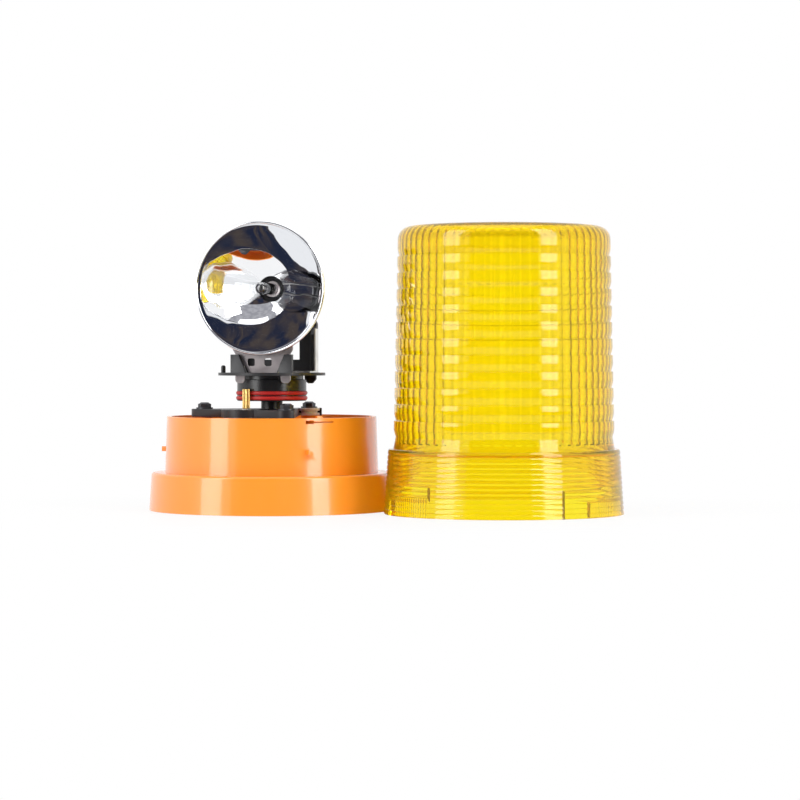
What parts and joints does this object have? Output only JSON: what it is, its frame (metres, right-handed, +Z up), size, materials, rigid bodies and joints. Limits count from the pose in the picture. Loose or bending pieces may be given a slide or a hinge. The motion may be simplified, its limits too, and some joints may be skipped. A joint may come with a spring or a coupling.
{
  "type": "rotating beacon",
  "caption": "Amber rotating beacon opened for service: base with friction-driven parabolic mirror and lamp, and its ribbed bayonet lens standing beside it.",
  "frame": {"origin": "centre of the base's underside, on the spin axis of the mirror", "axes": "+Z up along the mirror's spin axis, -Y to the front, +X to the right, towards the lens"},
  "size_m": [0.2875, 0.1909, 0.1755],
  "materials": {
    "orange_plastic": "glossy moulded",
    "black_rubber": "matt",
    "black_plastic": "satin moulded",
    "dark_plastic": "matt",
    "pale_silicone": "satin",
    "red_silicone": "satin",
    "black_steel": "black oxide",
    "steel": "turned",
    "spring_steel": "drawn",
    "stainless": "satin sheet",
    "chromed": "mirror bright",
    "brass": "turned",
    "bronze": "sintered",
    "carbon": "pressed carbon",
    "ferrite": "pressed",
    "lamination": "stacked sheet",
    "zinc_steel": "zinc plated",
    "tinned_strip": "tinned",
    "lamp_quartz": "clear",
    "tungsten": "wound wire",
    "amber_plastic": "clear amber moulding",
    "amber_seal": "satin"
  },
  "bodies": {
    "base": {"base_housing": "orange_plastic", "mounting_gasket": "black_rubber", "chassis_plate": "black_plastic", "chassis_grommet": "pale_silicone", "chassis_screws": "black_steel", "chassis_washers": "black_steel", "spindle": "steel", "spindle_clip": "spring_steel", "brush_sleeve": "dark_plastic", "contact_brush": "carbon", "brush_spring": "spring_steel", "motor_can": "zinc_steel", "motor_end_cap": "dark_plastic", "motor_bushes": "bronze", "motor_magnets": "ferrite", "motor_screws": "steel", "terminal_block": "dark_plastic", "terminal_screws": "steel", "cable_grommet": "black_rubber"},
    "motor_rotor": {"motor_shaft": "steel", "friction_roller": "brass", "armature": "lamination", "commutator": "bronze"},
    "mirror_rotor": {"rotor_drum": "black_plastic", "drive_ring_lower": "red_silicone", "drive_ring_upper": "red_silicone", "rotor_bush_lower": "bronze", "rotor_bush_upper": "bronze", "rotor_disc": "black_plastic", "centre_contact": "brass", "mirror_bracket": "stainless", "mirror": "chromed", "lamp_holder": "black_plastic", "lamp_socket": "black_plastic", "lamp_base": "stainless", "lamp_glass": "lamp_quartz", "lamp_filament": "tungsten", "lamp_blade": "tinned_strip", "contact_strip": "tinned_strip"},
    "lens_cover": {"lens": "amber_plastic", "lens_seal": "amber_seal"}
  },
  "joints": [
    {"name": "mirror_spin", "type": "hinge", "parent": "base", "child": "mirror_rotor", "pos_m": [0, 0, 0.075], "axis": [0, 0, 1], "continuous": true},
    {"name": "motor_spin", "type": "hinge", "parent": "base", "child": "motor_rotor", "pos_m": [-0.01468, -0.0193, 0.05], "axis": [0, 0, 1], "continuous": true},
    {"name": "lens_lift", "type": "slide", "parent": "base", "child": "lens_cover", "axis": [0, 0, 1], "range_m": [0, 0.2]}
  ],
  "couplings": [
    {"joint": "motor_spin", "follows": "mirror_spin", "ratio": -9.7333}
  ]
}
